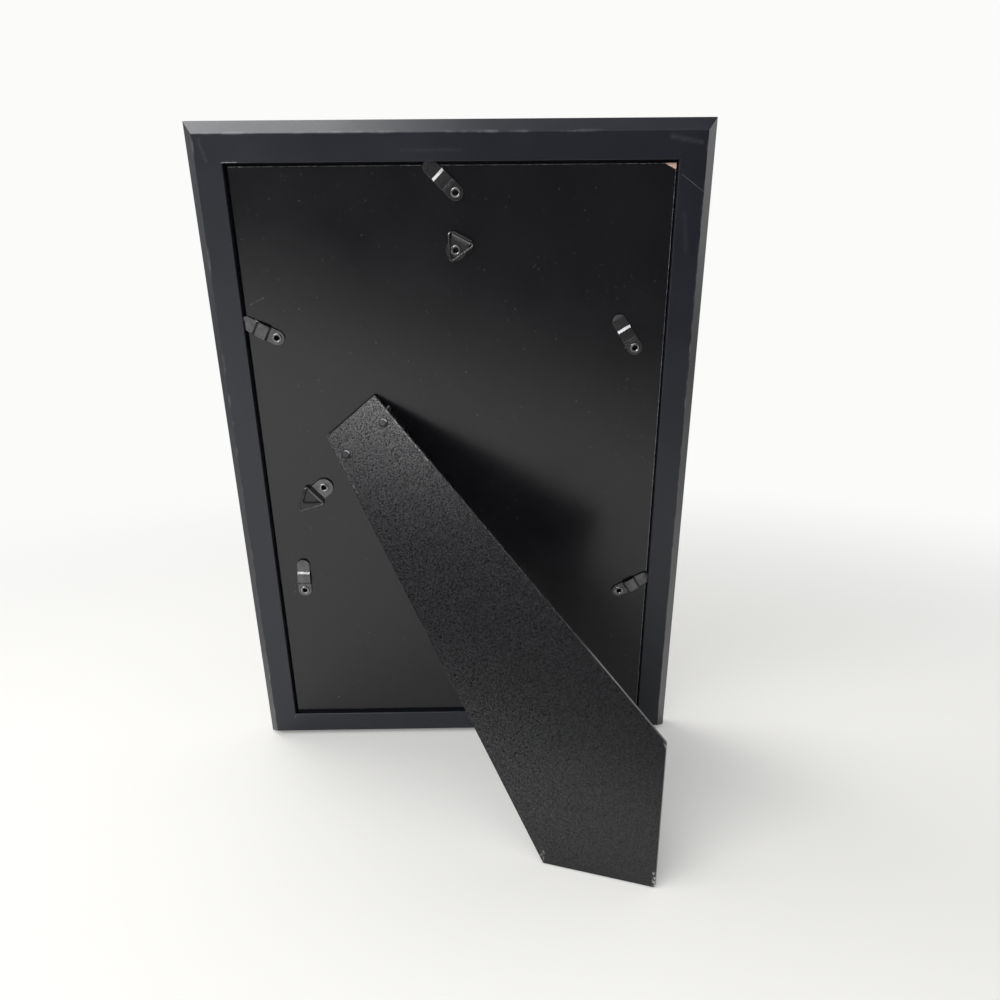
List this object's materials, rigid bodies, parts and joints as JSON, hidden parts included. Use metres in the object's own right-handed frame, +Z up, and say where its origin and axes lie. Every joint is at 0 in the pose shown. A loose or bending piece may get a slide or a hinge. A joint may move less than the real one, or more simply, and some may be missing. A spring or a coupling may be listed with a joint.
{
  "type": "easel back picture frame",
  "caption": "Black picture frame seen from behind: mitred rails, turn buttons holding the backboard, wire hanging rings and a hinged easel strut for standing either way.",
  "frame": {"origin": "on the floor, under the middle of the space that the standing frame takes; the frame touches the floor along the back lower corner of its bottom rail and at the strut's foot", "axes": "+Z up, +Y out of the back towards the strut's foot, +X left as seen from behind; the picture faces -Y and leans back by 12.7 degrees"},
  "size_m": [0.236, 0.1584, 0.3291],
  "materials": {
    "frame_paint": "satin black paint on wood",
    "clear_glass": "clear, polished",
    "white_card": "matte",
    "faced_hardboard": "brown hardboard faced with smooth black paper",
    "strut_board": "stiff board covered with grained black paper",
    "black_nickel": "black nickel plate on pressed steel",
    "nail_steel": "plain steel"
  },
  "bodies": {
    "frame": {"rail_top": "frame_paint", "rail_bottom": "frame_paint", "rail_left": "frame_paint", "rail_right": "frame_paint", "corner_nails": "nail_steel", "glass_pane": "clear_glass", "picture_card": "white_card", "backboard": "faced_hardboard", "button_eyelet_top": "black_nickel", "button_eyelet_left_upper": "black_nickel", "button_eyelet_right_upper": "black_nickel", "button_eyelet_left_lower": "black_nickel", "button_eyelet_right_lower": "black_nickel", "hanger_eyelet_upper": "black_nickel", "hanger_eyelet_side": "black_nickel", "hinge_board_leaf": "black_nickel", "leaf_rivets": "black_nickel", "hinge_pin": "black_nickel"},
    "strut": {"easel_strut": "strut_board", "hinge_strut_leaf": "black_nickel", "strut_rivets": "black_nickel"},
    "button_top": {"turn_button_top": "black_nickel"},
    "button_left_upper": {"turn_button_left_upper": "black_nickel"},
    "button_right_upper": {"turn_button_right_upper": "black_nickel"},
    "button_left_lower": {"turn_button_left_lower": "black_nickel"},
    "button_right_lower": {"turn_button_right_lower": "black_nickel"},
    "strap_upper": {"hanger_strap_upper": "black_nickel"},
    "ring_upper": {"hanger_ring_upper": "black_nickel"},
    "strap_side": {"hanger_strap_side": "black_nickel"},
    "ring_side": {"hanger_ring_side": "black_nickel"}
  },
  "joints": [
    {"name": "strut_fold", "type": "hinge", "parent": "frame", "child": "strut", "pos_m": [0.04828, -0.02326, 0.18754], "axis": [-0.7638, 0.1419, 0.6297], "range_deg": [0, 33.1]},
    {"name": "turn_top", "type": "hinge", "parent": "frame", "child": "button_top", "pos_m": [-0.00141, -0.00097, 0.29738], "axis": [0, 0.9755, -0.2198], "range_deg": [-17, 70]},
    {"name": "turn_left_upper", "type": "hinge", "parent": "frame", "child": "button_left_upper", "pos_m": [0.08633, -0.01531, 0.23373], "axis": [0, 0.9755, -0.2198], "range_deg": [-95, 15]},
    {"name": "turn_right_upper", "type": "hinge", "parent": "frame", "child": "button_right_upper", "pos_m": [-0.0864, -0.01677, 0.22725], "axis": [0, 0.9755, -0.2198], "range_deg": [-105, 30]},
    {"name": "turn_left_lower", "type": "hinge", "parent": "frame", "child": "button_left_lower", "pos_m": [0.0872, -0.04612, 0.09703], "axis": [0, 0.9755, -0.2198], "range_deg": [-30, 67]},
    {"name": "turn_right_lower", "type": "hinge", "parent": "frame", "child": "button_right_lower", "pos_m": [-0.0855, -0.04678, 0.09409], "axis": [0, 0.9755, -0.2198], "range_deg": [-110, 90]},
    {"name": "swivel_upper", "type": "hinge", "parent": "frame", "child": "strap_upper", "pos_m": [-0.00081, -0.00648, 0.27292], "axis": [0, 0.9755, -0.2198], "range_deg": [-30, 30]},
    {"name": "ring_swing_upper", "type": "hinge", "parent": "strap_upper", "child": "ring_upper", "pos_m": [-0.00372, -0.00396, 0.27796], "axis": [-0.8829, -0.1032, -0.458], "range_deg": [-162, 5]},
    {"name": "swivel_side", "type": "hinge", "parent": "frame", "child": "strap_side", "pos_m": [0.0711, -0.03261, 0.15699], "axis": [0, 0.9755, -0.2198], "range_deg": [-40, 40]},
    {"name": "ring_swing_side", "type": "hinge", "parent": "strap_side", "child": "ring_side", "pos_m": [0.07578, -0.03218, 0.15272], "axis": [0.6561, 0.1659, 0.7362], "range_deg": [-20, 150]}
  ]
}
